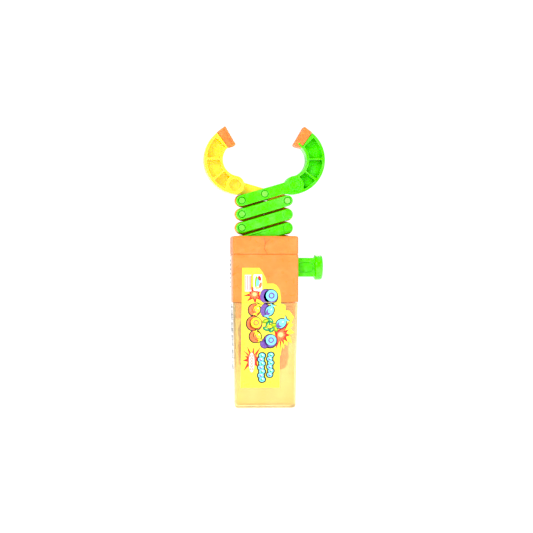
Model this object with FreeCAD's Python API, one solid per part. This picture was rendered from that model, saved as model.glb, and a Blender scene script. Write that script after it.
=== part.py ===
import FreeCAD, Part
import math
import os

V = FreeCAD.Vector

# All sizes in mm. X runs across the toy, Y from front to back, Z up. z = 0 is the cup's base.

# Scissor arm
PITCH = 28.4
REST = 16.6
STAGES = 5
BASE_Z = 82.2
LINK_R = 3.2
BACK_R = 3.75
HUB_R = 4.0
HUB_T = 1.6
LAYER_IN = 0.2
LAYER_OUT = 5.4
CBORE_R = 2.35
CBORE_D = 1.0
BORE_R = 1.37
SHANK_R = 1.28
SNAP_R = 1.75
HALF_W = PITCH / 2 * math.cos(math.radians(REST))
RISE = PITCH * math.sin(math.radians(REST))
CLAW_Z = BASE_Z + RISE * (STAGES + 0.5)

# Claws, measured from their centre pivot
ARC_X = 15.2
ARC_Z = 20.2
ARC_IN = 9.8
ARC_OUT = 20.7
BOSS_A = -80.5
BOSS_R = 5.45
CLAW_Y = 6.0
RIM = 1.5
WEB = 0.8
END_C = (21.95, 27.2)
END_B = (28.45, 36.2)
TIP_D = (17.1, 29.3)
TIP_A = (23.4, 40.2)
TIP_Y = 5.8

# Housing
HX = 19.5
HY = 12.0
WALL = 1.8
BODY_Z0 = 62.6
BODY_Z1 = 90.8
CAP_Z1 = 101.7
DECK_Z0 = 74.9
DECK_Z1 = 76.9
SPIGOT_Z0 = 52.9
SPIGOT_X = 17.55
SPIGOT_Y = 10.05
IN_X = 17.7
IN_Y = 10.2
SLOT_X = 17.6
SLOT_Y = 6.4
WINDOW_Y = 4.7
WINDOW_Z1 = 89.05

# Plunger
SHANK_Y = 4.5
SHANK_Z0 = 77.5
SHANK_Z1 = 88.8
PLATE_Z0 = 77.05
PLATE_Z1 = 78.35
SHANK_X1 = 30.1
BUTTON_X1 = 34.7
BUTTON_R = 7.5
DRIVE_R = 1.4
ANCHOR_R = 1.5

# Return spring
SPRING_Y = 7.85
SPRING_Z = 79.9
SPRING_X0 = -9.9
SPRING_X1 = 9.5
SPRING_R = 1.75
WIRE_R = 0.25
TURNS = 14

# Cup
CUP_Z1 = 62.3
CUP_X0 = 18.1
CUP_Y0 = 10.75
CUP_X1 = 19.2
CUP_Y1 = 11.7
CUP_WALL = 1.3
CUP_FLOOR = 1.6
LABEL_T = 0.15


def box(x0, x1, y0, y1, z0, z1):
    return Part.makeBox(x1 - x0, y1 - y0, z1 - z0, V(x0, y0, z0))


def cyl_x(y, z, r, x0, x1):
    return Part.makeCylinder(r, x1 - x0, V(x0, y, z), V(1, 0, 0))


def cyl_y(x, z, r, y0, y1):
    return Part.makeCylinder(r, y1 - y0, V(x, y0, z), V(0, 1, 0))


def cyl_z(x, y, r, z0, z1):
    return Part.makeCylinder(r, z1 - z0, V(x, y, z0), V(0, 0, 1))


def slab(points, y0, y1):
    """Polygon in the XZ plane, extruded from y0 to y1."""
    ring = [V(x, y0, z) for x, z in points]
    ring.append(ring[0])
    return Part.Face(Part.makePolygon(ring)).extrude(V(0, y1 - y0, 0))


def stadium(a, b, r, y0, y1):
    """Round-ended bar between two points of the XZ plane."""
    length = math.hypot(b[0] - a[0], b[1] - a[1])
    turn = math.degrees(math.atan2(b[1] - a[1], b[0] - a[0]))
    top = Part.makeLine(V(0, y0, r), V(length, y0, r))
    end = Part.Arc(V(length, y0, r), V(length + r, y0, 0), V(length, y0, -r)).toShape()
    low = Part.makeLine(V(length, y0, -r), V(0, y0, -r))
    start = Part.Arc(V(0, y0, -r), V(-r, y0, 0), V(0, y0, r)).toShape()
    bar = Part.Face(Part.Wire([top, end, low, start])).extrude(V(0, y1 - y0, 0))
    bar.rotate(V(0, 0, 0), V(0, 1, 0), -turn)
    bar.translate(V(a[0], 0, a[1]))
    return bar


def polar(r, degrees):
    """Point on the claw's arc."""
    turn = math.radians(degrees)
    return (ARC_X + r * math.cos(turn), ARC_Z + r * math.sin(turn))


def sector(r0, r1, a0, a1, y0, y1):
    """Part of a ring round the claw's arc centre."""
    mid = (a0 + a1) / 2
    spots = [polar(r1, a0), polar(r1, mid), polar(r1, a1), polar(r0, a1), polar(r0, mid), polar(r0, a0)]
    p = [V(x, y0, z) for x, z in spots]
    outer = Part.Arc(p[0], p[1], p[2]).toShape()
    inner = Part.Arc(p[3], p[4], p[5]).toShape()
    ring = Part.Wire([outer, Part.makeLine(p[2], p[3]), inner, Part.makeLine(p[5], p[0])])
    return Part.Face(ring).extrude(V(0, y1 - y0, 0))


def along(shape, axis):
    """Straight edges of a shape that run along one axis."""
    found = []
    for edge in shape.Edges:
        if len(edge.Vertexes) < 2:
            continue
        span = edge.Vertexes[1].Point - edge.Vertexes[0].Point
        if span.Length > 1e-6 and abs(abs(span.normalize().dot(axis)) - 1) < 1e-6:
            found.append(edge)
    return found


def in_plane(shape, axis, value):
    """Edges of a shape that lie in the plane axis = value."""
    found = []
    for edge in shape.Edges:
        limits = edge.BoundBox
        low, high = {"y": (limits.YMin, limits.YMax), "z": (limits.ZMin, limits.ZMax)}[axis]
        if abs(low - value) < 1e-4 and abs(high - value) < 1e-4:
            found.append(edge)
    return found


def is_near(edge, spot):
    """True for an edge along Y that passes through a point of the XZ plane."""
    point = edge.Vertexes[0].Point
    return math.hypot(point.x - spot[0], point.z - spot[1]) < 0.01


def rounded(x0, x1, y0, y1, z0, z1, r):
    """Box with rounded upright edges."""
    plain = box(x0, x1, y0, y1, z0, z1)
    return plain.makeFillet(r, along(plain, V(0, 0, 1)))


def fuse(first, *others):
    return first.multiFuse(list(others)).removeSplitter()


def cut(first, *others):
    return first.cut(list(others)) if len(others) > 1 else first.cut(others[0])


def one(shape):
    """The single solid of a shape."""
    solids = shape.Solids
    if len(solids) != 1:
        raise ValueError("%d solids" % len(solids))
    return solids[0]


def save(name, shape):
    one(shape).exportStep("parts/%s.step" % name)


def place(shape, x, z, degrees=0.0):
    """Turn a shape about Y, then move its origin to a point of the XZ plane."""
    moved = shape.copy()
    moved.rotate(V(0, 0, 0), V(0, 1, 0), degrees)
    moved.translate(V(x, 0, z))
    return moved


def snap_stud(x, z, y0):
    """Round stud with a split snap head at the back of the arm."""
    shank = cyl_y(x, z, SHANK_R, y0, 4.9)
    head = cyl_y(x, z, SNAP_R, 4.5, 4.8)
    nose = Part.makeCone(SNAP_R, 1.2, 0.35, V(x, 4.8, z), V(0, 1, 0))
    split = box(x - 2, x + 2, 2.2, 5.3, z - 0.25, z + 0.25)
    return cut(fuse(shank, head, nose), split)


def make_pin(x, z):
    """Headed pivot pin through both layers of the arm."""
    head = cyl_y(x, z, SNAP_R, -5.2, -4.45)
    head = head.makeFillet(0.3, in_plane(head, "y", -5.2))
    return fuse(snap_stud(x, z, -4.8), head)


def make_drive_pin():
    pin = cyl_y(HALF_W, BASE_Z, DRIVE_R, -4.3, 7.9)
    return pin.makeChamfer(0.3, in_plane(pin, "y", -4.3) + in_plane(pin, "y", 7.9))


def make_anchor_pin():
    pin = cyl_y(-HALF_W, BASE_Z, ANCHOR_R, -9.8, 9.8)
    return pin.makeChamfer(0.3, in_plane(pin, "y", -9.8) + in_plane(pin, "y", 9.8))


def panel(y0, y1):
    """Shallow field between a link's two ends."""
    half = PITCH / 2
    field = box(-half, half, y0, y1, -2.1, 2.1)
    return cut(field, cyl_y(-half, 0, 3.2, y0, y1), cyl_y(half, 0, 3.2, y0, y1))


def front_link(index):
    """Link of the front layer, lying along X. Its studs are moulded on."""
    half = PITCH / 2
    bar = stadium((-half, 0), (half, 0), LINK_R, -LAYER_OUT, -LAYER_IN)
    bar = bar.makeFillet(0.7, in_plane(bar, "y", -LAYER_OUT))
    cuts = [panel(-LAYER_OUT, -LAYER_OUT + 0.35)]
    holes = [] if index == 1 else [-half]
    if index == STAGES:
        holes.append(half)
    else:
        ring = cut(cyl_y(half, 0, 2.6, -5.4, -5.05), cyl_y(half, 0, 2.15, -5.4, -5.05))
        cuts.append(ring)
    for x in holes:
        cuts.append(cyl_y(x, 0, BORE_R, -6, 0))
        cuts.append(cyl_y(x, 0, CBORE_R, -6, -LAYER_OUT + CBORE_D))
    if index == 1:
        cuts.append(cyl_y(-half, 0, ANCHOR_R + 0.08, -6, 0))
    bar = cut(bar, *cuts)
    bar = fuse(bar, snap_stud(0, 0, -LAYER_IN - 1))
    if index < STAGES:
        bar = fuse(bar, snap_stud(half, 0, -LAYER_IN - 1))
    return bar


def back_link(index):
    """Link of the back layer, lying along X."""
    half = PITCH / 2
    radius = LINK_R if index == 1 else BACK_R
    bar = stadium((-half, 0), (half, 0), radius, LAYER_IN, LAYER_OUT)
    bar = bar.makeFillet(0.5, in_plane(bar, "y", LAYER_OUT))
    if index > 1:
        bar = fuse(bar, cyl_y(0, 0, HUB_R, LAYER_IN, LAYER_IN + HUB_T))
    field = cut(panel(LAYER_OUT - 0.35, LAYER_OUT), cyl_y(0, 0, 3.2, 0, 6))
    cuts = [field]
    for x in (-half, 0, half):
        if index == 1 and x == half:
            cuts.append(cyl_y(x, 0, DRIVE_R + 0.01, 0, 6))
            continue
        cuts.append(cyl_y(x, 0, BORE_R, 0, 6))
        cuts.append(cyl_y(x, 0, CBORE_R, LAYER_OUT - CBORE_D, 6))
    return cut(bar, *cuts)


def claw_outline():
    """Arc, boss, link bar and the web that joins them, without pockets."""
    bx, bz = polar((ARC_IN + ARC_OUT) / 2, BOSS_A)
    arc = sector(ARC_IN, ARC_OUT, BOSS_A, 55.0, -CLAW_Y, CLAW_Y)
    beyond = [END_C, END_B, (END_B[0] + 13, END_B[1] + 18), (-5, 60), (END_C[0] - 13, END_C[1] - 18)]
    arc = cut(arc, slab(beyond, -7, 7))
    boss = cyl_y(bx, bz, BOSS_R, -CLAW_Y, CLAW_Y)
    bar = stadium((-HALF_W, -RISE / 2), (bx, bz), LINK_R, -LAYER_OUT, -LAYER_IN)
    hub = cyl_y(0, 0, HUB_R, -LAYER_IN - HUB_T, -LAYER_IN)
    hub = cut(hub, slab([(-HALF_W, -RISE / 2), (bx, bz), (bx, 9), (-HALF_W, 9)], -7, 7))
    return fuse(arc, boss, bar, hub, gusset(bx, bz), top_fillet(bx, bz))


def gusset(bx, bz):
    """Front-layer foot that carries the outer arc down to the link bar."""
    points = [polar(ARC_OUT, a) for a in range(-80, -98, -1)]
    points += [(9.0, 0.4), (9.0, 3.0), (bx, bz)]
    foot = slab(points, -LAYER_OUT, -LAYER_IN)
    return cut(foot, cyl_y(HALF_W, -RISE / 2, BACK_R + 0.15, -7, 7))


def top_fillet(bx, bz):
    """Hollow fillet between the bar's upper edge and the boss."""
    r = 3.0
    length = math.hypot(bx, bz)
    ux, uz = bx / length, bz / length
    back = math.sqrt((BOSS_R + r) ** 2 - (LINK_R + r) ** 2)
    foot = (bx - ux * back, bz - uz * back)
    centre = (foot[0] - uz * (LINK_R + r), foot[1] + ux * (LINK_R + r))
    web = slab([(bx, bz), foot, centre], -LAYER_OUT, -LAYER_IN)
    return cut(web, cyl_y(centre[0], centre[1], r, -7, 7))


def claw_pockets():
    """Pockets of one face between the arc's two rims, with ribs left standing."""
    r0, r1 = ARC_IN + RIM, ARC_OUT - RIM
    bx, bz = polar((ARC_IN + ARC_OUT) / 2, BOSS_A)
    spans = [(3.8, 43.5), (-35.6, 0.2), (BOSS_A, -39.2)]
    pockets = []
    for a0, a1 in spans:
        pocket = sector(r0, r1, a0, a1, -7, -WEB)
        if a0 == BOSS_A:
            pocket = cut(pocket, cyl_y(bx, bz, BOSS_R, -8, 0))
        pocket = pocket.makeFillet(0.7, along(pocket, V(0, 1, 0)))
        pockets.append(pocket)
    return pockets


def tongue(grow):
    """Key of the claw that enters the grip tip from the front."""
    dx, dz = -0.664, 0.748
    nx, nz = 0.748, 0.664
    half = 0.5 + grow
    sx, sz = END_C[0] + 0.35, END_C[1] + 0.5
    points = []
    for run, side in ((-1.2, -1), (3.3 + grow, -1), (3.3 + grow, 1), (-1.2, 1)):
        points.append((sx + dx * run + nx * half * side, sz + dz * run + nz * half * side))
    return slab(points, -CLAW_Y, -1.0 + grow)


def make_claw():
    """Claw measured from its centre pivot, with the grip on the right."""
    bx, bz = polar((ARC_IN + ARC_OUT) / 2, BOSS_A)
    claw = claw_outline()
    cuts = []
    for pocket in claw_pockets():
        back = pocket.mirror(V(0, 0, 0), V(0, 1, 0))
        cuts += [pocket, back]
    cuts.append(cyl_y(bx, bz, 4.3, -7, -LAYER_OUT))
    cuts.append(stadium((0, 0), (bx, bz), LINK_R, -7, -LAYER_OUT))
    cuts.append(cyl_y(bx, bz, 2.6, -7, -LAYER_OUT + 0.3))
    cuts.append(cyl_y(bx, bz, 3.6, 2.0, 7))
    for x, z in ((0, 0), (-HALF_W, -RISE / 2)):
        cuts.append(cyl_y(x, z, BORE_R, -7, 1))
        cuts.append(cyl_y(x, z, CBORE_R, -7, -LAYER_OUT + CBORE_D))
    ring = cut(cyl_y(bx, bz, 3.1, -5.75, -5.2), cyl_y(bx, bz, 2.6, -7, 0))
    return fuse(cut(claw, *cuts), tongue(0), ring)


def make_tip():
    """Grip tip that carries on from the claw's end. Its face meets the other tip."""
    off = 0.2
    nx, nz = math.sin(math.radians(60)), -math.cos(math.radians(60))
    d = (TIP_D[0] + off * nx, TIP_D[1] + off * nz)
    a = (TIP_A[0] + off * nx, TIP_A[1] + off * nz)
    gap = 0.2
    c = (END_C[0] - gap * 0.81, END_C[1] + gap * 0.585)
    b = (END_B[0] - gap * 0.81, END_B[1] + gap * 0.585)
    points = [c, b, (b[0] - 0.6, b[1] + 0.7), a, d, (d[0] + 1.0, d[1] - 1.0)]
    tip = slab(points, -TIP_Y, TIP_Y)
    tip = tip.makeFillet(0.6, [e for e in along(tip, V(0, 1, 0)) if is_near(e, a) or is_near(e, d)])
    tip = tip.makeFillet(0.35, in_plane(tip, "y", -TIP_Y) + in_plane(tip, "y", TIP_Y))
    cuts = [tongue(0.02)]
    for share in (0.2, 0.35, 0.5, 0.65, 0.8):
        x = d[0] + (a[0] - d[0]) * share
        z = d[1] + (a[1] - d[1]) * share
        cuts.append(cyl_y(x - 0.12 * nx, z - 0.12 * nz, 0.35, -7, 7))
    inner = [(d[0] + 1.9 * nx + 0.6, d[1] + 1.9 * nz + 1.1), (a[0] + 1.9 * nx - 0.9, a[1] + 1.9 * nz - 1.5)]
    cuts.append(stadium(inner[0], inner[1], 0.55, TIP_Y - 0.35, 7))
    return cut(tip, *cuts)


def make_body():
    """Housing body: shell, deck, spigot, saddles for the anchor pin, window for the plunger, side groove."""
    shell = rounded(-HX, HX, -HY, HY, BODY_Z0, BODY_Z1, 2.0)
    edges = in_plane(shell, "z", BODY_Z1)
    shell = shell.makeChamfer(0.25, edges)
    spigot = rounded(-SPIGOT_X, SPIGOT_X, -SPIGOT_Y, SPIGOT_Y, SPIGOT_Z0, BODY_Z0 + 1, 1.6)
    block = fuse(shell, spigot)
    upper = rounded(-IN_X, IN_X, -IN_Y, IN_Y, DECK_Z1, BODY_Z1 + 1, 0.8)
    lower = rounded(-16, 16, -8.8, 8.8, SPIGOT_Z0 - 1, DECK_Z0, 0.8)
    window = box(IN_X - 1, HX + 1, -WINDOW_Y, WINDOW_Y, DECK_Z1, BODY_Z1 + 1)
    block = cut(block, upper, lower, window)
    block = fuse(block, *body_ribs())
    slots = [cyl_y(-HALF_W, BASE_Z, ANCHOR_R + 0.05, -10.2, 10.2)]
    slots.append(box(-HALF_W - 1.55, -HALF_W + 1.55, -10.2, 10.2, BASE_Z, 90))
    slots.append(box(-HX - 1, -HX + 0.9, -2.6, -1.4, 75.0, 86.3))
    return cut(block, *slots)


def body_ribs():
    """Saddle ribs, carriage rail, spring peg and the socket for the candy plug."""
    ribs = [box(-IN_X - 0.2, -9.9, 5.7, IN_Y + 0.2, DECK_Z1 - 0.2, 88.5)]
    ribs.append(box(-IN_X - 0.2, -9.9, -IN_Y - 0.2, -6.3, DECK_Z1 - 0.2, 88.5))
    ribs.append(box(2.0, IN_X + 0.2, -6.6, -4.7, DECK_Z1 - 0.2, 78.7))
    ribs.append(cyl_x(SPRING_Y, SPRING_Z, 1.2, -10.5, -7.9))
    socket = cyl_z(0, 0, 4.4, 65.0, DECK_Z0 + 0.2)
    ribs.append(cut(socket, cyl_z(0, 0, 2.6, 64, DECK_Z0 - 0.4)))
    return ribs


def make_cap():
    """Housing cap: slot for the arm, lip, arm guides and legs that hold the anchor pin down."""
    shell = rounded(-HX, HX, -HY, HY, BODY_Z1, CAP_Z1, 2.0)
    shell = shell.makeFillet(1.4, in_plane(shell, "z", CAP_Z1))
    inner = rounded(-IN_X, IN_X, -IN_Y, IN_Y, BODY_Z1 - 1, CAP_Z1 - WALL, 0.8)
    lip = rounded(-17.6, 17.6, -10.1, 10.1, 89.1, BODY_Z1 + 1.2, 0.7)
    lip = cut(lip, rounded(-16.4, 16.4, -8.9, 8.9, 88, BODY_Z1 + 2, 0.5))
    parts = [lip, box(16.6, HX, -4.6, 4.6, WINDOW_Z1 + 0.05, BODY_Z1)]
    for side in (-1, 1):
        y0, y1 = sorted((side * SLOT_Y, side * (SLOT_Y + 1.5)))
        parts.append(box(-17.6, 17.6, y0, y1, 89.1, CAP_Z1 - WALL + 0.2))
        y0, y1 = sorted((side * SLOT_Y, side * 9.8))
        parts.append(box(-15.0, -12.2, y0, y1, BASE_Z + 1.6, CAP_Z1 - WALL + 0.2))
    cap = fuse(cut(shell, inner), *parts)
    slot = rounded(-SLOT_X, SLOT_X, -SLOT_Y, SLOT_Y, 80, CAP_Z1 + 1, 1.5)
    cap = cut(cap, slot)
    seam = cut(box(-20, 20, -13, 13, BODY_Z1, BODY_Z1 + 0.35), rounded(-19.1, 19.1, -11.6, 11.6, 90, 92, 1.6))
    return cut(cap, seam)


def make_plunger():
    """Push plunger: button, shank, and the carriage that drives the arm's moving pivot."""
    shank = box(17.0, SHANK_X1 + 0.5, -SHANK_Y, SHANK_Y, SHANK_Z0, SHANK_Z1)
    shank = shank.makeFillet(0.6, along(shank, V(1, 0, 0)))
    shank = cut(shank, box(16, 18.1, -5, 5, PLATE_Z1, 90))
    z_mid = (SHANK_Z0 + SHANK_Z1) / 2
    button = cyl_x(0, z_mid, BUTTON_R, SHANK_X1, BUTTON_X1)
    button = button.makeFillet(1.6, [e for e in button.Edges if e.BoundBox.XMin > BUTTON_X1 - 0.01])
    button = button.makeFillet(0.7, [e for e in button.Edges if e.BoundBox.XMax < SHANK_X1 + 0.01])
    base = box(9.5, 17.6, -SHANK_Y, 8.0, PLATE_Z0, PLATE_Z1)
    rear = box(9.5, 17.6, 5.6, 8.0, PLATE_Z0, 88.3)
    fork = box(10.5, 17.4, -SHANK_Y, -0.4, PLATE_Z0, 85.3)
    web = box(17.0, 18.6, -SHANK_Y + 0.6, -0.4, SHANK_Z0 + 0.6, 85.3)
    lug = box(9.5, 11.5, 7.5, 9.9, PLATE_Z0, 83.0)
    peg = cyl_x(SPRING_Y, SPRING_Z, 1.2, 7.5, 10.0)
    body = fuse(shank, button, base, rear, fork, web, lug, peg)
    cuts = [stadium((13.5, BASE_Z), (14.6, BASE_Z), 1.5, -6, 9)]
    for y0, y1 in ((-5, -3.4), (3.4, 5)):
        cuts.append(stadium((22.9, z_mid), (26.1, z_mid), 3.25, y0, y1))
    return cut(body, *cuts)


def make_spring():
    """Open coil spring lying along X between the saddle rib and the plunger's lug."""
    length = SPRING_X1 - SPRING_X0 - 2 * WIRE_R
    coil = Part.makeHelix(length / TURNS, length, SPRING_R)
    ring = Part.Wire(Part.makeCircle(WIRE_R, V(SPRING_R, 0, 0), V(0, 1, 0)))
    spring = Part.Wire(coil).makePipeShell([ring], True, True)
    spring.rotate(V(0, 0, 0), V(0, 1, 0), 90)
    spring.translate(V(SPRING_X0 + WIRE_R, SPRING_Y, SPRING_Z))
    return spring


def oblong(hx, hy, z, r):
    """Rounded rectangle wire at one height."""
    plate = rounded(-hx, hx, -hy, hy, z, z + 1, r)
    face = [f for f in plate.Faces if f.BoundBox.ZMax < z + 1e-4][0]
    return face.OuterWire


def drafted(shrink, z0, z1, r):
    """Tapered block with the cup's draft, its sides moved in by shrink."""
    wires = []
    for z in (z0, z1):
        share = z / CUP_Z1
        hx = CUP_X0 + (CUP_X1 - CUP_X0) * share - shrink
        hy = CUP_Y0 + (CUP_Y1 - CUP_Y0) * share - shrink
        wires.append(oblong(hx, hy, z, r))
    return Part.makeLoft(wires, True, True)


def make_cup():
    """Translucent cup with drafted walls and a small step inside its mouth."""
    outer = drafted(0, 0, CUP_Z1, 2.5)
    outer = outer.makeFillet(1.8, in_plane(outer, "z", 0))
    inner = drafted(CUP_WALL, CUP_FLOOR, CUP_Z1 + 1, 1.4)
    inner = inner.makeFillet(1.0, in_plane(inner, "z", CUP_FLOOR))
    step = drafted(CUP_WALL - 0.35, CUP_Z1 - 2.2, CUP_Z1 + 1, 1.7)
    return cut(outer, inner, step)


def make_plug():
    """Plug that closes the spigot and carries the candy on its stick."""
    plate = rounded(-15.8, 15.8, -8.6, 8.6, SPIGOT_Z0, SPIGOT_Z0 + 2.4, 0.7)
    stem = cyl_z(0, 0, 2.5, SPIGOT_Z0 + 1, 74.0)
    stem = stem.makeChamfer(0.5, in_plane(stem, "z", 74.0))
    stick = rounded(-4.5, 4.5, -1.5, 1.5, 31.0, SPIGOT_Z0 + 1, 1.0)
    ribs = [box(-9, 9, -0.6, 0.6, SPIGOT_Z0 + 2, 60), box(-0.6, 0.6, -7, 7, SPIGOT_Z0 + 2, 60)]
    return fuse(plate, stem, stick, *ribs)


def make_candy(plug):
    """Candy block, moulded round the plug's stick."""
    block = rounded(-16.4, 14.6, -8.4, 8.4, 20.6, 52.5, 4.5)
    block = block.makeFillet(2.2, in_plane(block, "z", 20.6) + in_plane(block, "z", 52.5))
    return cut(block, plug)


FRONT_UPPER = [(-14.0, 82.8), (-3.9, 82.8), (-2.0, 80.4), (-0.3, 77.2), (0.7, 73.5), (4.5, 73.5)]
FRONT_UPPER += [(6.0, 72.8), (7.2, 71.5), (8.1, 70.0), (8.5, 68.6), (8.9, 65.0), (9.0, 62.5), (-14.25, 62.5)]
FRONT_LOWER = [(-14.25, 62.4), (9.0, 62.4), (9.1, 61.4), (11.7, 61.0), (11.7, 57.7), (14.0, 57.5)]
FRONT_LOWER += [(16.7, 53.9), (15.1, 50.0), (16.5, 49.1), (14.5, 47.1), (17.0, 44.4), (14.2, 43.4)]
FRONT_LOWER += [(15.5, 38.3), (12.9, 39.2), (12.9, 36.6), (11.3, 38.2), (10.8, 34.6), (9.7, 36.6)]
FRONT_LOWER += [(8.8, 31.2), (8.2, 30.6)]
FRONT_LOWER += [(8.2, 12.0), (-14.8, 12.0)]


def upper_label(points):
    """Label on the housing's flat front."""
    return slab(points, -HY - LABEL_T, -HY)


def drafted_layer(side):
    """Label-thick layer on the cup's front (side 0) or left face (side 1)."""
    low, high = ((CUP_Y0, CUP_Y1), (CUP_X0, CUP_X1))[side]
    top = CUP_Z1 + 0.2
    high += (high - low) * 0.2 / CUP_Z1
    corners = [(low, 0), (high, top), (high + LABEL_T, top), (low + LABEL_T, 0)]
    if side == 0:
        ring = [V(-25, -d, z) for d, z in corners]
        way = V(50, 0, 0)
    else:
        ring = [V(-d, -25, z) for d, z in corners]
        way = V(0, 50, 0)
    ring.append(ring[0])
    return Part.Face(Part.makePolygon(ring)).extrude(way)


def save_labels():
    save("label_front_upper", upper_label(FRONT_UPPER))
    save("label_front_lower", slab(FRONT_LOWER, -14, -9).common(drafted_layer(0)))
    save("label_side_upper", box(-HX - LABEL_T, -HX, 0.6, 9.9, 62.5, 90.0))
    save("label_side_lower", box(-22, -15, -8.4, 8.9, 20.7, 62.4).common(drafted_layer(1)))


def save_arm():
    """Five crossed pairs of links and the pins at their left ends."""
    for index in range(1, STAGES + 1):
        z = BASE_Z + RISE * (index - 0.5)
        save("front_link_%d" % index, place(front_link(index), 0, z, -REST))
        save("back_link_%d" % index, place(back_link(index), 0, z, REST))
        save("pivot_pin_left_%d" % index, make_pin(-HALF_W, BASE_Z + RISE * index))
    save("anchor_pin", make_anchor_pin())
    save("drive_pin", make_drive_pin())


def save_claws():
    """Two claws from one moulding, their tips and their pins."""
    pieces = {"claw": make_claw(), "claw_tip": make_tip()}
    for kind, piece in pieces.items():
        green = place(piece, 0, CLAW_Z)
        yellow = green.copy()
        yellow.rotate(V(0, 0, 0), V(0, 0, 1), 180)
        save("green_%s" % kind, green)
        save("yellow_%s" % kind, yellow)
    save("claw_centre_pin", make_pin(0, CLAW_Z))
    save("claw_right_pin", make_pin(HALF_W, BASE_Z + RISE * STAGES))


def save_case():
    """Housing, plunger, spring, cup and lollipop."""
    plug = make_plug()
    save("housing_body", make_body())
    save("housing_cap", make_cap())
    save("plunger", make_plunger())
    save("return_spring", make_spring())
    save("container", make_cup())
    save("lollipop_plug", plug)
    save("lollipop_candy", make_candy(plug))


os.makedirs("parts", exist_ok=True)
save_case()
save_arm()
save_claws()
save_labels()
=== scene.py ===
import math

import bmesh
import bpy
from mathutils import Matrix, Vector, noise


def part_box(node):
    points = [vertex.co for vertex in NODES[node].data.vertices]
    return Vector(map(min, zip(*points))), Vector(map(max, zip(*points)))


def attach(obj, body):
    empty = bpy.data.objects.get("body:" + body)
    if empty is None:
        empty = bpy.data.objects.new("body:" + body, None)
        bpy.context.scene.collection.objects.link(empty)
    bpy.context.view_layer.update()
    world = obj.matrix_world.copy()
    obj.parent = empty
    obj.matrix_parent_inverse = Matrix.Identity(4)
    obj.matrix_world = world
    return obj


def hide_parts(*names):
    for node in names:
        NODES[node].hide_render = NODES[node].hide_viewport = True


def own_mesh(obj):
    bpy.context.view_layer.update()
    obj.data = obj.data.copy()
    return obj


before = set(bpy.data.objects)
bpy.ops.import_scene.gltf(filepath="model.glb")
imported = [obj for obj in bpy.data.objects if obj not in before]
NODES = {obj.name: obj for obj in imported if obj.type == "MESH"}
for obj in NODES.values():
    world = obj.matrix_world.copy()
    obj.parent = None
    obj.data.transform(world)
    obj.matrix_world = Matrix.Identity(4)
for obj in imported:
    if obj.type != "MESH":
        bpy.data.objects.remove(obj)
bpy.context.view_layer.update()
MM = 0.001


# ---------------------------------------------------------------- materials

def new_material(name):
    material = bpy.data.materials.new(name)
    material.use_nodes = True
    tree = material.node_tree
    shader = tree.nodes["Principled BSDF"]
    return material, tree, shader


def add_node(tree, kind, **values):
    node = tree.nodes.new(kind)
    for key, value in values.items():
        setattr(node, key, value)
    return node


def noise_node(tree, coords, scale, detail=3.0, rough=0.55, distortion=0.0):
    node = add_node(tree, "ShaderNodeTexNoise")
    node.inputs["Scale"].default_value = scale
    node.inputs["Detail"].default_value = detail
    node.inputs["Roughness"].default_value = rough
    node.inputs["Distortion"].default_value = distortion
    tree.links.new(coords, node.inputs["Vector"])
    return node.outputs["Fac"]


def remap(tree, value, low, high, to_low, to_high):
    node = add_node(tree, "ShaderNodeMapRange")
    node.inputs["From Min"].default_value = low
    node.inputs["From Max"].default_value = high
    node.inputs["To Min"].default_value = to_low
    node.inputs["To Max"].default_value = to_high
    tree.links.new(value, node.inputs["Value"])
    return node.outputs["Result"]


def combine(tree, kind, first, second):
    node = add_node(tree, "ShaderNodeMath", operation=kind)
    for socket, value in ((node.inputs[0], first), (node.inputs[1], second)):
        if isinstance(value, float):
            socket.default_value = value
        else:
            tree.links.new(value, socket)
    return node.outputs[0]


def mix_colour(tree, share, first, second):
    node = add_node(tree, "ShaderNodeMix", data_type="RGBA")
    for socket, value in ((node.inputs[6], first), (node.inputs[7], second)):
        if isinstance(value, tuple):
            socket.default_value = (*value[:3], 1.0)
        else:
            tree.links.new(value, socket)
    tree.links.new(share, node.inputs[0])
    return node.outputs[2]


def bump(tree, height, strength, distance, normal=None):
    node = add_node(tree, "ShaderNodeBump")
    node.inputs["Strength"].default_value = strength
    node.inputs["Distance"].default_value = distance
    tree.links.new(height, node.inputs["Height"])
    if normal is not None:
        tree.links.new(normal, node.inputs["Normal"])
    return node.outputs["Normal"]


def object_coords(tree):
    return add_node(tree, "ShaderNodeTexCoord").outputs["Object"]


def stretched(tree, coords, turn, scale):
    node = add_node(tree, "ShaderNodeMapping")
    node.inputs["Rotation"].default_value = turn
    node.inputs["Scale"].default_value = scale
    tree.links.new(coords, node.inputs["Vector"])
    return node.outputs["Vector"]


def soft_edges(tree, radius):
    node = add_node(tree, "ShaderNodeBevel", samples=6)
    node.inputs["Radius"].default_value = radius
    return node.outputs["Normal"]


def edge_mask(tree, radius):
    """1 close to a sharp edge and 0 on flat stretches."""
    rounded = soft_edges(tree, radius)
    plain = add_node(tree, "ShaderNodeNewGeometry").outputs["Normal"]
    dot = add_node(tree, "ShaderNodeVectorMath", operation="DOT_PRODUCT")
    tree.links.new(rounded, dot.inputs[0])
    tree.links.new(plain, dot.inputs[1])
    return remap(tree, dot.outputs["Value"], 1.0, 0.75, 0.0, 1.0)


def crevice_mask(tree, reach):
    """Ambient occlusion as the mask of painted shade: 1 deep in a narrow gap or corner and 0 in the open."""
    node = add_node(tree, "ShaderNodeAmbientOcclusion", samples=12)
    node.inputs["Distance"].default_value = reach
    return remap(tree, node.outputs["AO"], 0.1, 0.7, 1.0, 0.0)


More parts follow.
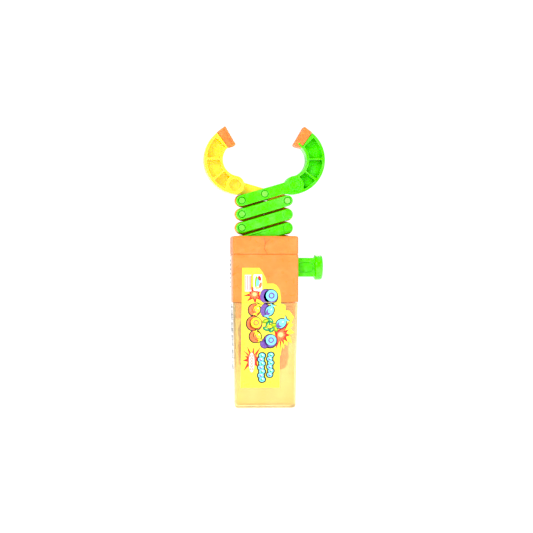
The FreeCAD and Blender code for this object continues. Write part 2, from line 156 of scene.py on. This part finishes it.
def scratch_mask(tree, coords):
    """Fine hairline scratches in two directions."""
    first = noise_node(tree, stretched(tree, coords, (0.3, 0.5, 0.2), (90.0, 2600.0, 2600.0)), 1.0, 2.0)
    second = noise_node(tree, stretched(tree, coords, (0.9, -0.6, 0.4), (2600.0, 2600.0, 120.0)), 1.0, 2.0)
    lines = combine(tree, "MAXIMUM", first, second)
    return remap(tree, lines, 0.70, 0.78, 0.0, 1.0)


def moulded(name, colour, pale, deep, painted_shade, glow, rough=(0.2, 0.34), coat=0.2, reach=0.0035,
            shade_strength=0.5, wear=0.6, milky=0.35, bloom=0.2, painted_glow=0.0):
    """Injection-moulded plastic: flow marks, orange peel, hairline scratches, worn edges, painted shade in
    gaps.

    pale is the colour of wear and blush, deep the darker streaks of the flow, glow the subsurface tint.
    rough is the range of roughness. painted_shade is the colour of the shade painted into gaps, reach how far
    it spreads from a gap and shade_strength how strong it is.
    """
    material, tree, shader = new_material(name)
    coords = object_coords(tree)
    flow = noise_node(tree, stretched(tree, coords, (0.0, 0.3, 0.0), (70.0, 70.0, 150.0)), 1.0, 4.0, 0.6, 1.4)
    body = mix_colour(tree, remap(tree, flow, 0.35, 0.68, 0.0, 1.0), deep, colour)
    scuffs = noise_node(tree, coords, 900.0, 2.0)
    edge_tint = combine(tree, "MULTIPLY", edge_mask(tree, 0.00035), remap(tree, scuffs, 0.4, 0.65, 0.05, wear))
    scratches = scratch_mask(tree, coords)
    marks = combine(tree, "MAXIMUM", edge_tint, combine(tree, "MULTIPLY", scratches, 0.22))
    blush = remap(tree, noise_node(tree, coords, 150.0, 4.0, 0.6, 0.4), 0.5, 0.72, 0.0, bloom)
    clean = mix_colour(tree, combine(tree, "MAXIMUM", marks, blush), body, pale)
    # Painted shade: ambient occlusion darkens gaps and corners towards the painted_shade colour.
    painted_shade_share = combine(tree, "MULTIPLY", crevice_mask(tree, reach), shade_strength)
    tree.links.new(mix_colour(tree, painted_shade_share, clean, painted_shade), shader.inputs["Base Color"])
    patches = noise_node(tree, coords, 260.0, 3.0, 0.6, 0.6)
    gloss = remap(tree, patches, 0.35, 0.65, *rough)
    dulled = combine(tree, "ADD", gloss, combine(tree, "MULTIPLY", scratches, 0.2))
    tree.links.new(dulled, shader.inputs["Roughness"])
    peel = bump(tree, noise_node(tree, coords, 2600.0, 2.0), 0.10, 0.00006, soft_edges(tree, 0.00025))
    waves = bump(tree, patches, 0.18, 0.0003, peel)
    tree.links.new(bump(tree, scratches, 0.12, 0.00002, waves), shader.inputs["Normal"])
    shader.inputs["IOR"].default_value = 1.49
    shader.inputs["Coat Weight"].default_value = coat
    shader.inputs["Coat Roughness"].default_value = 0.12
    # Painted glow: an orange emission, strong enough on the yellow plastic to warm its shaded areas.
    shader.inputs["Emission Color"].default_value = (1.0, 0.38, 0.06, 1.0)
    shader.inputs["Emission Strength"].default_value = painted_glow
    shader.inputs["Subsurface Weight"].default_value = milky
    shader.inputs["Subsurface Radius"].default_value = glow
    shader.inputs["Subsurface Scale"].default_value = 0.003
    return material


def clear_plastic():
    """Clear yellow styrene of the cup: faint flow lines, handling haze and hairline scratches."""
    material, tree, shader = new_material("clear_yellow_plastic")
    coords = object_coords(tree)
    flow = noise_node(tree, stretched(tree, coords, (0.0, 0.2, 0.0), (60.0, 60.0, 22.0)), 1.0, 3.0, 0.5, 0.8)
    tint = mix_colour(tree, remap(tree, flow, 0.3, 0.7, 0.0, 1.0), (1.0, 0.78, 0.36), (1.0, 0.84, 0.44))
    # Painted shade: sharp edges turn deeper orange and less clear, for the darker look of the cup's thick
    # edges.
    edge_tint = combine(tree, "MULTIPLY", edge_mask(tree, 0.0005), 0.5)
    tree.links.new(mix_colour(tree, edge_tint, tint, (1.0, 0.72, 0.38)), shader.inputs["Base Color"])
    scratches = scratch_mask(tree, coords)
    haze = remap(tree, noise_node(tree, coords, 420.0, 3.0), 0.4, 0.7, 0.03, 0.14)
    dulled = combine(tree, "ADD", haze, combine(tree, "MULTIPLY", scratches, 0.2))
    tree.links.new(dulled, shader.inputs["Roughness"])
    clouds = remap(tree, noise_node(tree, coords, 130.0, 3.0), 0.35, 0.65, 0.80, 0.72)
    marks = combine(tree, "MAXIMUM", scratches, edge_tint)
    clear = combine(tree, "SUBTRACT", clouds, combine(tree, "MULTIPLY", marks, 0.3))
    tree.links.new(clear, shader.inputs["Transmission Weight"])
    tree.links.new(bump(tree, flow, 0.2, 0.0005, soft_edges(tree, 0.0004)), shader.inputs["Normal"])
    shader.inputs["IOR"].default_value = 1.03
    shader.inputs["Coat Weight"].default_value = 0.6
    shader.inputs["Coat Roughness"].default_value = 0.06
    return material


def candy_sugar():
    """Boiled sugar: cloudy orange with a dusting of crystals."""
    material, tree, shader = new_material("boiled_sugar")
    coords = object_coords(tree)
    cloud = noise_node(tree, coords, 140.0, 5.0, 0.6, 1.0)
    body = mix_colour(tree, remap(tree, cloud, 0.35, 0.65, 0.0, 1.0), (0.93, 0.10, 0.010), (1.0, 0.21, 0.03))
    cells = add_node(tree, "ShaderNodeTexVoronoi")
    cells.inputs["Scale"].default_value = 700.0
    tree.links.new(coords, cells.inputs["Vector"])
    grains = remap(tree, cells.outputs["Distance"], 0.0, 0.35, 1.0, 0.0)
    dusted = mix_colour(tree, remap(tree, grains, 0.0, 1.0, 0.0, 0.3), body, (1.0, 0.7, 0.42))
    tree.links.new(dusted, shader.inputs["Base Color"])
    tree.links.new(remap(tree, cloud, 0.3, 0.7, 0.22, 0.45), shader.inputs["Roughness"])
    low = bump(tree, cloud, 0.5, 0.0008)
    tree.links.new(bump(tree, grains, 0.35, 0.0002, low), shader.inputs["Normal"])
    shader.inputs["Subsurface Weight"].default_value = 0.4
    shader.inputs["Subsurface Radius"].default_value = (1.0, 0.5, 0.25)
    shader.inputs["Subsurface Scale"].default_value = 0.004
    return material


def printed_film(name, paper, mottled):
    """Glossy sticker film with a faint print screen and small creases."""
    material, tree, shader = new_material(name)
    coords = object_coords(tree)
    sheet = noise_node(tree, coords, 180.0, 4.0, 0.6)
    colour = mix_colour(tree, remap(tree, sheet, 0.35, 0.7, 0.0, 1.0), mottled, paper)
    cells = add_node(tree, "ShaderNodeTexVoronoi")
    cells.inputs["Scale"].default_value = 3200.0
    tree.links.new(coords, cells.inputs["Vector"])
    screen = remap(tree, cells.outputs["Distance"], 0.2, 0.6, 0.0, 0.06)
    tree.links.new(mix_colour(tree, screen, colour, (1.0, 1.0, 1.0)), shader.inputs["Base Color"])
    tree.links.new(remap(tree, sheet, 0.3, 0.7, 0.22, 0.4), shader.inputs["Roughness"])
    creases = noise_node(tree, stretched(tree, coords, (0.0, 0.4, 0.0), (300.0, 300.0, 90.0)), 1.0, 2.0)
    tree.links.new(bump(tree, creases, 0.14, 0.0002), shader.inputs["Normal"])
    shader.inputs["Coat Weight"].default_value = 0.3
    shader.inputs["Coat Roughness"].default_value = 0.1
    return material


def print_ink():
    """Ink of the sticker's art. Its colour is stored on the art's own faces."""
    material, tree, shader = new_material("print_ink")
    coords = object_coords(tree)
    ink = add_node(tree, "ShaderNodeVertexColor", layer_name="ink").outputs["Color"]
    grain = noise_node(tree, coords, 2400.0, 3.0)
    cloud = noise_node(tree, coords, 300.0, 3.0)
    pale = mix_colour(tree, remap(tree, grain, 0.45, 0.75, 0.0, 0.2), ink, (1.0, 0.98, 0.9))
    tree.links.new(pale, shader.inputs["Base Color"])
    tree.links.new(remap(tree, cloud, 0.3, 0.7, 0.4, 0.55), shader.inputs["Roughness"])
    tree.links.new(bump(tree, cloud, 0.08, 0.0002), shader.inputs["Normal"])
    shader.inputs["Specular IOR Level"].default_value = 0.12
    return material


def spring_steel():
    """Bright drawn wire."""
    material, tree, shader = new_material("spring_steel")
    coords = object_coords(tree)
    drawn = noise_node(tree, coords, 2200.0, 3.0, 0.6)
    colour = mix_colour(tree, drawn, (0.42, 0.42, 0.44), (0.72, 0.72, 0.74))
    tree.links.new(colour, shader.inputs["Base Color"])
    tree.links.new(remap(tree, drawn, 0.3, 0.7, 0.22, 0.4), shader.inputs["Roughness"])
    tree.links.new(bump(tree, drawn, 0.2, 0.00003), shader.inputs["Normal"])
    shader.inputs["Metallic"].default_value = 1.0
    return material


def floor_paper():
    """Pale paper that gives off some light, so it renders as white as the backdrop."""
    material, tree, shader = new_material("studio_floor")
    coords = object_coords(tree)
    fibre = noise_node(tree, coords, 30.0, 4.0)
    colour = mix_colour(tree, fibre, (0.92, 0.92, 0.92), (0.96, 0.96, 0.96))
    tree.links.new(colour, shader.inputs["Base Color"])
    shader.inputs["Roughness"].default_value = 0.9
    shader.inputs["Emission Color"].default_value = (1.0, 1.0, 1.0, 1.0)
    shader.inputs["Emission Strength"].default_value = 0.6
    return material


# The fifth colour of each moulded material is the painted shade of its gaps and corners.
GAP_SHADE_BROWN = (0.10, 0.02, 0.002)
WARM = (1.0, 0.4, 0.1)
LEAFY = (0.25, 1.0, 0.1)
GREEN = moulded("green_plastic", (0.10, 0.86, 0.002), (0.40, 1.0, 0.28), (0.075, 0.74, 0.002),
                (0.008, 0.2, 0.001), LEAFY)
# Pin heads: the green plastic made paler as a painted highlight; their pale rims are partly real wear and
# partly painted highlight.
PIN_PAINTED_HIGHLIGHT = moulded("green_pin_plastic_painted_highlight", (0.24, 0.95, 0.08), (0.66, 1.0, 0.5), (0.14, 0.90, 0.04),
              (0.03, 0.5, 0.005), LEAFY, rough=(0.12, 0.22), coat=0.6, shade_strength=0.45, wear=0.9, bloom=0.25)
# Yellow plastic: its orange gap colour is painted shade and its orange emission is a painted glow.
YELLOW = moulded("yellow_plastic", (0.99, 0.77, 0.05), (1.0, 0.93, 0.3), (0.98, 0.73, 0.04),
                 (1.0, 0.66, 0.20), WARM, reach=0.008, shade_strength=0.3, milky=0.8, bloom=0.1, painted_glow=0.16)
# Back links: the yellow plastic darkened to amber as painted shade of the back layer, with painted dark brown
# shade in its gaps.
SHADED_YELLOW = moulded("amber_plastic", (0.98, 0.50, 0.04), (1.0, 0.72, 0.25), (0.94, 0.40, 0.03),
                GAP_SHADE_BROWN, WARM, shade_strength=0.8)
ORANGE = moulded("orange_plastic", (0.92, 0.30, 0.065), (1.0, 0.52, 0.24), (0.88, 0.25, 0.05),
                 (0.8, 0.10, 0.015), WARM, rough=(0.26, 0.4), bloom=0.16)
TIP = moulded("orange_grip", (0.94, 0.255, 0.05), (1.0, 0.5, 0.2), (0.88, 0.21, 0.04),
              (0.6, 0.09, 0.02), WARM, rough=(0.42, 0.58), coat=0.05)
WHITE = moulded("white_plastic", (0.92, 0.92, 0.9), (0.98, 0.98, 0.97), (0.88, 0.88, 0.86),
                (0.6, 0.5, 0.42), (1.0, 0.9, 0.8))
CLEAR = clear_plastic()
SUGAR = candy_sugar()
LABEL = printed_film("label_film", (0.98, 0.92, 0.02), (0.97, 0.86, 0.02))
SIDE_LABEL = printed_film("side_label_film", (0.93, 0.93, 0.93), (0.88, 0.88, 0.89))
INK = print_ink()
STEEL = spring_steel()


def dress(material, *names):
    for name in names:
        mesh = NODES[name].data
        mesh.materials.clear()
        mesh.materials.append(material)


LINKS = range(1, 6)
dress(GREEN, "plunger", "green_claw", "anchor_pin", "drive_pin")
dress(PIN_PAINTED_HIGHLIGHT, "claw_centre_pin", "claw_right_pin")
dress(GREEN, *["front_link_%d" % i for i in LINKS])
dress(PIN_PAINTED_HIGHLIGHT, *["pivot_pin_left_%d" % i for i in LINKS])
dress(SHADED_YELLOW, *["back_link_%d" % i for i in LINKS])
dress(YELLOW, "yellow_claw")
dress(TIP, "green_claw_tip", "yellow_claw_tip")
dress(ORANGE, "housing_body", "housing_cap")
dress(WHITE, "lollipop_plug")
dress(STEEL, "return_spring")
dress(CLEAR, "container")
dress(SUGAR, "lollipop_candy")
dress(LABEL, "label_front_upper", "label_front_lower")
dress(SIDE_LABEL, "label_side_upper", "label_side_lower")


# ---------------------------------------------------------------- meshes

def make_object(name, verts, faces, material, body, smooth=True):
    mesh = bpy.data.meshes.new(name)
    mesh.from_pydata([(x * MM, y * MM, z * MM) for x, y, z in verts], [], faces)
    mesh.validate()
    mesh.materials.append(material)
    for polygon in mesh.polygons:
        polygon.use_smooth = smooth
    thing = bpy.data.objects.new(name, mesh)
    bpy.context.scene.collection.objects.link(thing)
    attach(thing, body)
    return thing


# ---------------------------------------------------------------- return spring

COIL_X = (-9.9, 9.5)
COIL_Y = 7.85
COIL_Z = 79.9
COIL_R = 1.75
WIRE_R = 0.25


def make_coil():
    """Wire coil with a closed turn at each end and open turns between."""
    closed, turns, steps, sides = 1.25, 14.0, 26, 10
    span = COIL_X[1] - COIL_X[0] - 2 * WIRE_R
    tight = 2.1 * WIRE_R
    open_pitch = (span - 2 * closed * tight) / (turns - 2 * closed)
    verts, faces = [], []
    rings = int(turns * steps) + 1
    for k in range(rings):
        turn = k / steps
        low = min(turn, closed)
        high = max(turn - (turns - closed), 0.0)
        x = COIL_X[0] + WIRE_R + (low + high) * tight + (turn - low - high) * open_pitch
        angle = 2 * math.pi * turn
        for j in range(sides):
            a = 2 * math.pi * j / sides
            r = COIL_R + WIRE_R * math.cos(a)
            y, z = COIL_Y + r * math.cos(angle), COIL_Z + r * math.sin(angle)
            verts.append((x + WIRE_R * math.sin(a), y, z))
    for k in range(rings - 1):
        for j in range(sides):
            n = (j + 1) % sides
            faces.append((k * sides + j, k * sides + n, (k + 1) * sides + n, (k + 1) * sides + j))
    faces.append(tuple(range(sides)))
    faces.append(tuple(reversed(range((rings - 1) * sides, rings * sides))))
    coil = make_object("return_coil", verts, faces, STEEL, "housing")
    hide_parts("return_spring")
    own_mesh(coil)


# ---------------------------------------------------------------- candy

def make_candy():
    """Hand-poured candy block: soft corners and a lumpy surface."""
    low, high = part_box("lollipop_candy")
    mid = (low + high) / 2
    half = (high - low) / 2
    mesh = bpy.data.meshes.new("candy_block")
    build = bmesh.new()
    bmesh.ops.create_cube(build, size=2.0)
    bmesh.ops.subdivide_edges(build, edges=build.edges[:], cuts=34, use_grid_fill=True)
    power = 5.0
    for vert in build.verts:
        p = vert.co
        norm = (abs(p.x) ** power + abs(p.y) ** power + abs(p.z) ** power) ** (1 / power)
        p = p / norm
        spot = Vector((p.x * half.x, p.y * half.y, p.z * half.z))
        lumps = noise.fractal(spot * 95.0, 1.0, 2.0, 3)
        grain = noise.noise(spot * 420.0)
        dent = 0.0006 + 0.0009 * lumps + 0.00018 * grain
        vert.co = mid + spot * (1.0 - max(dent, 0.0) / 0.009)
    build.to_mesh(mesh)
    build.free()
    for polygon in mesh.polygons:
        polygon.use_smooth = True
    mesh.materials.append(SUGAR)
    candy = bpy.data.objects.new("candy_block", mesh)
    bpy.context.scene.collection.objects.link(candy)
    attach(candy, "housing")
    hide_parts("lollipop_candy")


# ---------------------------------------------------------------- sticker art

# Faces that carry the prints, in mm. The cup's faces lean out by a slope from their low edge.
# Each print's layer is LAYER thicker than the one below, and its prisms start SUNK inside the face.
FILM = 0.15
SEAM_Z = 62.45
SEAM_GAP = 0.15
HOUSING_X = 19.5
HOUSING_Y = 12.0
CUP_TOP = 62.3
CUP_LOW_Y = 10.75
CUP_SLOPE_Y = 0.95 / CUP_TOP
CUP_LOW_X = 18.1
CUP_SLOPE_X = 1.1 / CUP_TOP
LAYER = 0.012
SUNK = 0.03

INKS = {
    "sky": (0.22, 0.80, 1.0), "purple": (0.18, 0.08, 0.42), "dark": (0.012, 0.002, 0.012),
    "red": (0.93, 0.012, 0.012), "coral": (1.0, 0.20, 0.06), "leaf": (0.0, 0.40, 0.15),
    "lime": (0.30, 0.55, 0.0), "lemon": (1.0, 0.92, 0.03), "white": (0.95, 0.95, 0.95),
    "pink": (1.0, 0.30, 0.30), "grey": (0.24, 0.24, 0.27), "peach": (1.0, 0.62, 0.25),
    # The last ink is the painted shade of the cap's crease.
    "crease_shade": (0.62, 0.09, 0.012),
}


def oval(x, z, rx, rz, turn=0.0, steps=28):
    """Outline of an ellipse, turned by some degrees."""
    c, s = math.cos(math.radians(turn)), math.sin(math.radians(turn))
    points = []
    for k in range(steps):
        a = 2 * math.pi * k / steps
        u, v = rx * math.cos(a), rz * math.sin(a)
        points.append((x + u * c - v * s, z + u * s + v * c))
    return points


def burst(x, z, tips, waist):
    """Spiky star with its own list of tips, in order round the centre."""
    angles = sorted((math.atan2(b - z, a - x), a, b) for a, b in tips)
    points = []
    for k, (angle, a, b) in enumerate(angles):
        after = angles[(k + 1) % len(angles)][0]
        if after <= angle:
            after += 2 * math.pi
        half = (angle + after) / 2
        points.append((a, b))
        points.append((x + waist * math.cos(half), z + waist * math.sin(half)))
    return points


def bar(x0, x1, z0, z1):
    return [(x0, z0), (x1, z0), (x1, z1), (x0, z1)]


def turned(points, x, z, turn):
    c, s = math.cos(math.radians(turn)), math.sin(math.radians(turn))
    return [(x + a * c - b * s, z + a * s + b * c) for a, b in points]


def wrapped_sweet(x, z, size, turn, fill, shade, rim="dark"):
    """Sweet in a twisted wrapper, with a rim, a shadow side and a bright streak."""
    shapes = []
    for grow, ink, layer in ((0.6, rim, 3), (0.0, fill, 4)):
        for side in (-1, 1):
            fan = [(side * (size * 0.72), 0.0), (side * (size * 1.55 + grow), size * 0.62 + grow)]
            fan += [(side * (size * 1.35 + grow), 0.0), (side * (size * 1.55 + grow), -size * 0.62 - grow)]
            shapes.append((turned(fan, x, z, turn), ink, layer))
        shapes.append((oval(x, z, size + grow, size * 0.8 + grow, turn), ink, layer))
    shapes.append((oval(x - 0.25 * size, z - 0.22 * size, size * 0.7, size * 0.5, turn), shade, 5))
    shapes.append((oval(x + 0.1 * size, z + 0.05 * size, size * 0.55, size * 0.42, turn), fill, 6))
    shapes.append((oval(x + 0.35 * size, z + 0.3 * size, size * 0.2, size * 0.1, turn), "white", 7))
    return shapes


def swirl_pop(x, z, size, fill, shade, rim="dark"):
    """Round lollipop head with rings."""
    shapes = [(oval(x - 0.4, z - 0.4, size + 0.75, size + 0.75), rim, 2)]
    shapes.append((oval(x - 0.35, z - 0.3, size + 0.1, size + 0.1), shade, 3))
    shapes.append((oval(x + 0.2, z + 0.2, size * 0.86, size * 0.86), fill, 4))
    shapes.append((oval(x + 0.2, z + 0.2, size * 0.48, size * 0.48), shade, 5))
    shapes.append((oval(x + 0.2, z + 0.2, size * 0.26, size * 0.26), fill, 6))
    return shapes


def star_art():
    """Three spiky stars, each with a smaller star and a bright core."""
    first = [(-13.6, 66.1), (-11.4, 62.8), (-6.2, 61.0), (-2.0, 62.9), (-11.4, 70.6), (-8.3, 72.0)]
    first += [(-2.8, 71.4)]
    second = [(14.2, 51.0), (13.9, 46.6), (14.8, 43.1), (13.2, 38.9), (11.0, 36.6), (8.6, 33.9)]
    second += [(6.1, 34.8), (5.0, 45.5)]
    third = [(-13.7, 34.7), (-11.4, 37.4), (-6.7, 37.1), (-2.8, 36.4), (-12.6, 30.9), (-13.8, 28.0)]
    third += [(-13.4, 21.4), (-8.2, 20.6), (-4.7, 24.1), (-3.4, 30.0)]
    art = []
    for x, z, tips, waist in ((-6.7, 67.2, first, 2.4), (8.9, 43.3, second, 2.9), (-8.1, 28.9, third, 2.6)):
        art.append((burst(x, z, tips, waist * 1.15), "red", 1))
        near = [(x + (a - x) * 0.5, z + (b - z) * 0.5) for a, b in tips]
        art.append((burst(x, z, near, waist * 0.8), "coral", 2))
        art.append((oval(x, z, waist * 0.55, waist * 0.5), "peach", 3))
    return art


def panel_art():
    """Two white panels at the top: one with lines, one with a small heap of ovals."""
    art = [(bar(-12.4, -8.6, 68.9, 78.7), "white", 2)]
    for k in range(4):
        line = bar(-12.15 + k, -11.55 + k, 69.3 + 0.5 * (k % 2), 78.3)
        art.append((line, "red" if k == 3 else "pink", 3))
    art.append((bar(-7.3, -2.2, 68.9, 78.9), "white", 2))
    art.append((oval(-5.5, 74.0, 1.1, 4.0), "lime", 3))
    art.append((oval(-4.6, 73.6, 1.0, 3.2), "sky", 4))
    art.append((oval(-3.7, 76.6, 0.9, 1.5, 20.0), "red", 4))
    art.append((oval(-3.2, 72.6, 0.8, 1.8, -15.0), "coral", 5))
    art.append((oval(-4.9, 71.0, 1.2, 0.8), "peach", 6))
    return art


def blue_sweets():
    """Blue sweets with purple shadows, from the top of the sticker to its middle."""
    art = shadow_blob(0.1, -0.2, 66.0, 3.6, 4.5)
    art += swirl_pop(3.2, 66.2, 3.9, "sky", "purple")
    art += shadow_blob(-0.2, -0.5, 57.6, 3.1, 4.2)
    art += wrapped_sweet(2.3, 57.4, 2.9, 62.0, "sky", "purple")
    art += wrapped_sweet(9.1, 49.9, 3.1, 38.0, "sky", "purple")
    art += shadow_blob(-0.6, -0.7, 38.0, 2.9, 3.0)
    art += swirl_pop(3.0, 39.9, 3.6, "sky", "purple")
    return art


def shadow_blob(x, inner_x, z, rx, rz):
    """Purple oval with a dark rim, behind a sweet."""
    rim = 0.4
    outer = (oval(x, z, rx, rz), "dark", 2)
    return [outer, (oval(inner_x, z, rx - rim, rz - rim), "purple", 3)]


def orange_sweets():
    """Column of lemon and coral sweets on the left, the middle one a round pop."""
    art = []
    for x, z, size, turn in ((-5.4, 58.2, 3.0, 70.0), (-5.9, 50.2, 3.6, 0.0), (-4.8, 42.6, 3.0, 115.0)):
        art.append((oval(x - 1.5, z - 0.3, size + 0.9, size + 1.0), "dark", 2))
        art.append((oval(x - 1.3, z - 0.2, size + 0.4, size + 0.5), "coral", 3))
        if turn:
            art += wrapped_sweet(x, z, size * 0.8, turn, "lemon", "coral")
        else:
            art += swirl_pop(x, z, size, "lemon", "coral")
    return art


def leaf_art():
    """Bunch of leaves in the middle of the sticker."""
    leaves = [(0.0, 51.4, 25.0, "lime"), (2.8, 51.8, -40.0, "leaf"), (1.2, 49.2, 70.0, "leaf")]
    leaves += [(4.6, 49.0, 10.0, "lime"), (0.2, 46.8, -20.0, "leaf"), (3.6, 46.2, 40.0, "leaf")]
    leaves += [(5.8, 46.8, -60.0, "lime"), (2.2, 48.2, 0.0, "lemon")]
    art = []
    for x, z, turn, ink in leaves:
        art.append((oval(x, z, 2.1, 1.25, turn), "dark", 4))
        art.append((oval(x, z, 1.8, 0.95, turn), ink, 5))
        art.append((oval(x + 0.2, z + 0.15, 0.9, 0.2, turn), "lemon", 6))
    return art


def bead_art():
    """White capsule with rings, and two strings of blue beads."""
    art = [(oval(-8.3, 26.9, 1.9, 6.1), "coral", 4), (oval(-8.3, 26.9, 1.6, 5.8), "white", 5)]
    for k in range(5):
        art.append((oval(-8.3, 30.7 - 1.9 * k, 0.95, 0.85), "coral", 6))
        art.append((oval(-8.3, 30.7 - 1.9 * k, 0.5, 0.42), "white", 7))
    for middle, top, count, size in ((-2.5, 31.0, 7, 1.75), (2.7, 31.4, 6, 1.6)):
        for k in range(count):
            x = middle + 0.35 * (-1) ** k
            z = top - k * 2.35
            core = "purple" if k % 2 else "leaf"
            art.append((oval(x, z, size + 0.75, size + 0.4), "dark", 3))
            art.append((oval(x, z, size, size * 0.82), "sky", 4))
            art.append((oval(x - 0.1, z - 0.1, size * 0.5, size * 0.4), core, 5))
            art.append((oval(x + 0.3, z + 0.3, size * 0.34, size * 0.2), "white", 6))
    return art


def front_art():
    """Generic sweets, stars and beads, each as (outline, ink, layer), in mm on the front."""
    art = star_art() + panel_art() + blue_sweets()
    return art + orange_sweets() + leaf_art() + bead_art()


def crease_shade_art():
    """Fine crease line with one branch on the cap's front, painted shade standing for a fold in the shrink
    wrap.
    """
    line = [(-0.9, 100.2), (-0.3, 97.4), (-0.9, 94.2), (0.8, 91.2)]
    branch = [(-0.3, 97.4), (2.6, 99.9)]
    art = []
    for path, half in ((line, 0.2), (branch, 0.17)):
        ring = [(x - half, z) for x, z in path] + [(x + half, z) for x, z in reversed(path)]
        art.append((ring, "crease_shade", 1))
    return art


def side_art():
    """Plain grey lines and bars on the side sticker, in mm as (y, z)."""
    art = []
    for k in range(7):
        z = 86.8 - 2.6 * k
        for start, end in ((1.6, 3.4), (4.0, 6.8 - 0.5 * (k % 3)), (7.2, 9.2)):
            art.append((bar(start, end, z, z + 0.8), "dark" if k in (1, 2) else "grey", 1))
    z = 61.0
    for k in range(36):
        tall = 0.35 + 0.4 * ((k * 7) % 4) / 3
        if (k * 5) % 7 != 3:
            art.append((bar(-7.6, 8.2, z - tall, z), "dark" if k % 3 else "grey", 1))
        z -= 1.08
    return art


def clip(points, z, keep_above):
    """The part of an outline on one side of a level line."""
    sign = 1.0 if keep_above else -1.0
    kept = []
    for k, (a, b) in enumerate(points):
        c, d = points[(k + 1) % len(points)]
        inside, following = sign * (b - z) >= 0, sign * (d - z) >= 0
        if inside:
            kept.append((a, b))
        if inside != following:
            share = (z - b) / (d - b)
            kept.append((a + (c - a) * share, z))
    return kept


def prism_faces(base, count):
    """Top, bottom and sides of a prism whose two rings start at one index."""
    faces = [tuple(range(base, base + count))]
    faces.append(tuple(reversed(range(base + count, base + 2 * count))))
    for k in range(count):
        n = (k + 1) % count
        faces.append((base + k, base + count + k, base + count + n, base + n))
    return faces


def ink_mesh(name, verts, faces, inks):
    """Mesh with a colour stored on each face's corners."""
    mesh = bpy.data.meshes.new(name)
    mesh.from_pydata([(x * MM, y * MM, z * MM) for x, y, z in verts], [], faces)
    layer = mesh.color_attributes.new("ink", "FLOAT_COLOR", "CORNER")
    for polygon, ink in zip(mesh.polygons, inks):
        for corner in polygon.loop_indices:
            layer.data[corner].color = (*ink, 1.0)
    mesh.materials.append(INK)
    fix = bmesh.new()
    fix.from_mesh(mesh)
    bmesh.ops.recalc_face_normals(fix, faces=fix.faces)
    fix.to_mesh(mesh)
    fix.free()
    return mesh


def print_on(name, art, above, place, body):
    """Thin raised prints, one closed prism for each outline, on one side of the seam."""
    limit = SEAM_Z + SEAM_GAP if above else SEAM_Z - SEAM_GAP
    verts, faces, inks = [], [], []
    for outline, ink, layer in art:
        points = clip(outline, limit, above)
        if len(points) < 3:
            continue
        prism = prism_faces(len(verts), len(points))
        for lift in (layer * LAYER, -SUNK):
            verts += [place(a, b, lift) for a, b in points]
        faces += prism
        inks += [INKS[ink]] * len(prism)
    print_piece = bpy.data.objects.new(name, ink_mesh(name, verts, faces, inks))
    bpy.context.scene.collection.objects.link(print_piece)
    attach(print_piece, body)


def on_cap(x, z, lift):
    return (x, -HOUSING_Y - lift, z)


def on_front(x, z, lift):
    return (x, -HOUSING_Y - FILM - lift, z)


def on_cup_front(x, z, lift):
    return (x, -CUP_LOW_Y - CUP_SLOPE_Y * z - FILM - lift, z)


def on_side(y, z, lift):
    return (-HOUSING_X - FILM - lift, y, z)


def on_cup_side(y, z, lift):
    return (-CUP_LOW_X - CUP_SLOPE_X * z - FILM - lift, y, z)


def make_prints():
    front, side = front_art(), side_art()
    # The crease line on the cap is painted shade.
    print_on("cap_crease_shade", crease_shade_art(), True, on_cap, "housing")
    print_on("front_print_upper", front, True, on_front, "housing")
    print_on("front_print_lower", front, False, on_cup_front, "cup_body")
    print_on("side_print_upper", side, True, on_side, "housing")
    print_on("side_print_lower", side, False, on_cup_side, "cup_body")


make_coil()
make_candy()
make_prints()


# ---------------------------------------------------------------- stage

def make_floor():
    mesh = bpy.data.meshes.new("floor")
    size = 12.0
    low = -0.0005
    mesh.from_pydata([(-size, -size, low), (size, -size, low), (size, size, low), (-size, size, low)],
                     [], [(0, 1, 2, 3)])
    floor = bpy.data.objects.new("floor", mesh)
    bpy.context.scene.collection.objects.link(floor)
    mesh.materials.append(floor_paper())


def area_light(name, place, target, size, power):
    data = bpy.data.lights.new(name, "AREA")
    data.shape = "DISK"
    data.size = size
    data.energy = power
    light = bpy.data.objects.new(name, data)
    bpy.context.scene.collection.objects.link(light)
    light.location = place
    light.rotation_euler = (Vector(target) - Vector(place)).to_track_quat("-Z", "Y").to_euler()


def make_camera():
    yaw = math.radians(5.2)
    reach = 1.2
    height = 0.0836
    side = 0.0015
    data = bpy.data.cameras.new("camera")
    data.sensor_width = 36.0
    data.lens = 135.9
    camera = bpy.data.objects.new("camera", data)
    bpy.context.scene.collection.objects.link(camera)
    camera.location = (side - reach * math.sin(yaw), -reach * math.cos(yaw), height)
    camera.rotation_euler = (math.radians(90), 0.0, -yaw)
    bpy.context.scene.camera = camera


def make_world():
    """White studio: the backdrop is full white, the light it gives is softer."""
    world = bpy.data.worlds.new("studio")
    bpy.context.scene.world = world
    world.use_nodes = True
    tree = world.node_tree
    back = tree.nodes["Background"]
    back.inputs["Color"].default_value = (1.0, 1.0, 1.0, 1.0)
    path = tree.nodes.new("ShaderNodeLightPath")
    strength = tree.nodes.new("ShaderNodeMapRange")
    strength.inputs["To Min"].default_value = 0.6
    strength.inputs["To Max"].default_value = 1.15
    tree.links.new(path.outputs["Is Camera Ray"], strength.inputs["Value"])
    tree.links.new(strength.outputs["Result"], back.inputs["Strength"])


make_floor()
make_world()
area_light("key", (-0.55, -1.0, 0.75), (0, 0, 0.1), 0.6, 9.5)
area_light("fill", (0.8, -0.8, 0.3), (0, 0, 0.1), 0.8, 2.5)
area_light("rim", (0.1, 0.8, 0.8), (0, 0, 0.1), 0.6, 4.0)
make_camera()
view = bpy.context.scene.view_settings
view.view_transform = "Standard"
view.use_curve_mapping = True
view.curve_mapping.black_level = (0.035, 0.035, 0.035)
view.curve_mapping.update()
